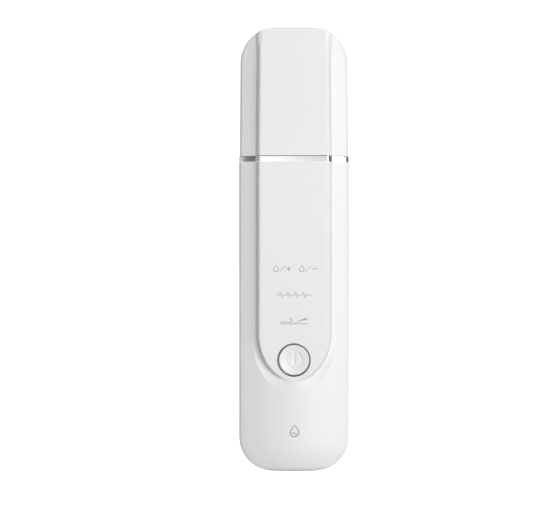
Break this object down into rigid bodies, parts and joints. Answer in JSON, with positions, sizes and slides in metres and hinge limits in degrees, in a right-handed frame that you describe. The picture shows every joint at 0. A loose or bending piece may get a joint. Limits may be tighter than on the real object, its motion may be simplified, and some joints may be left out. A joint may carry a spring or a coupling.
{
  "type": "skin scrubber",
  "caption": "Slim cordless ultrasonic skin scrubber: long white rounded body with a raised flat front band, round power button and metal trim ring, and a pull-off cap over its steel spatula.",
  "frame": {"origin": "centre of the flat base end, so the object stands on z = 0", "axes": "+Z along the body from the base to the cap, -Y out of the face with the power button, +X to the right when that face is looked at"},
  "size_m": [0.0448, 0.017, 0.18],
  "materials": {
    "shell_white": "satin moulded ABS",
    "cap_white": "satin moulded ABS",
    "chrome_trim": "polished plating",
    "blade_steel": "fine brushed stainless steel",
    "horn_aluminium": "machined",
    "steel_small": "zinc-plated steel",
    "piezo_ceramic": "fired ceramic with silvered faces",
    "damper_rubber": "moulded silicone",
    "seal_silicone": "clear-white silicone",
    "frame_plastic": "moulded ABS",
    "neck_plastic": "moulded ABS",
    "board": "solder-masked glass epoxy",
    "chip": "moulded epoxy",
    "ferrite": "sintered ferrite",
    "copper": "enamelled copper wire",
    "guide_clear": "clear acrylic",
    "led": "resin lens",
    "battery_foil": "laminated pouch foil",
    "pad_foam": "double-sided foam tape",
    "connector": "nylon",
    "lead_red": "PVC insulation",
    "lead_black": "PVC insulation",
    "lead_white": "PVC insulation"
  },
  "bodies": {
    "handle": {"front_shell": "shell_white", "back_shell": "shell_white", "body_seal": "seal_silicone", "trim_ring": "chrome_trim", "head_neck": "neck_plastic", "neck_gasket": "seal_silicone", "neck_grip_band": "seal_silicone", "blade": "blade_steel", "horn_block": "horn_aluminium", "blade_pins": "steel_small", "piezo_front": "piezo_ceramic", "piezo_back": "piezo_ceramic", "damper_lower": "damper_rubber", "damper_upper": "damper_rubber", "transducer_clamp": "steel_small", "clamp_screws": "steel_small", "chassis": "frame_plastic", "chassis_screws": "steel_small", "main_pcb": "board", "usb_shell": "steel_small", "usb_tongue": "chip", "button_bezel": "chrome_trim", "button_gasket": "damper_rubber", "switch_body": "chip", "indicator_leds": "led", "light_guide": "guide_clear", "controller_chip": "chip", "charger_chip": "chip", "boost_inductor": "ferrite", "filter_capacitors": "battery_foil", "transformer_core": "ferrite", "transformer_winding": "copper", "battery_cell": "battery_foil", "battery_pad": "pad_foam", "battery_connector": "connector", "battery_lead_positive": "lead_red", "battery_lead_negative": "lead_black", "piezo_lead_front": "lead_red", "piezo_lead_back": "lead_black", "ring_lead": "lead_white"},
    "cap": {"cap_shell": "cap_white", "cap_sleeve": "neck_plastic"},
    "button": {"power_button": "shell_white", "switch_plunger": "connector"}
  },
  "joints": [
    {"name": "cap_slide", "type": "slide", "parent": "handle", "child": "cap", "axis": [0, 0, 1], "range_m": [0, 0.06]},
    {"name": "button_press", "type": "slide", "parent": "handle", "child": "button", "axis": [0, 1, 0], "range_m": [0, 0.0004], "stiffness_N_per_m": 4000, "springref_m": -0.0001}
  ]
}
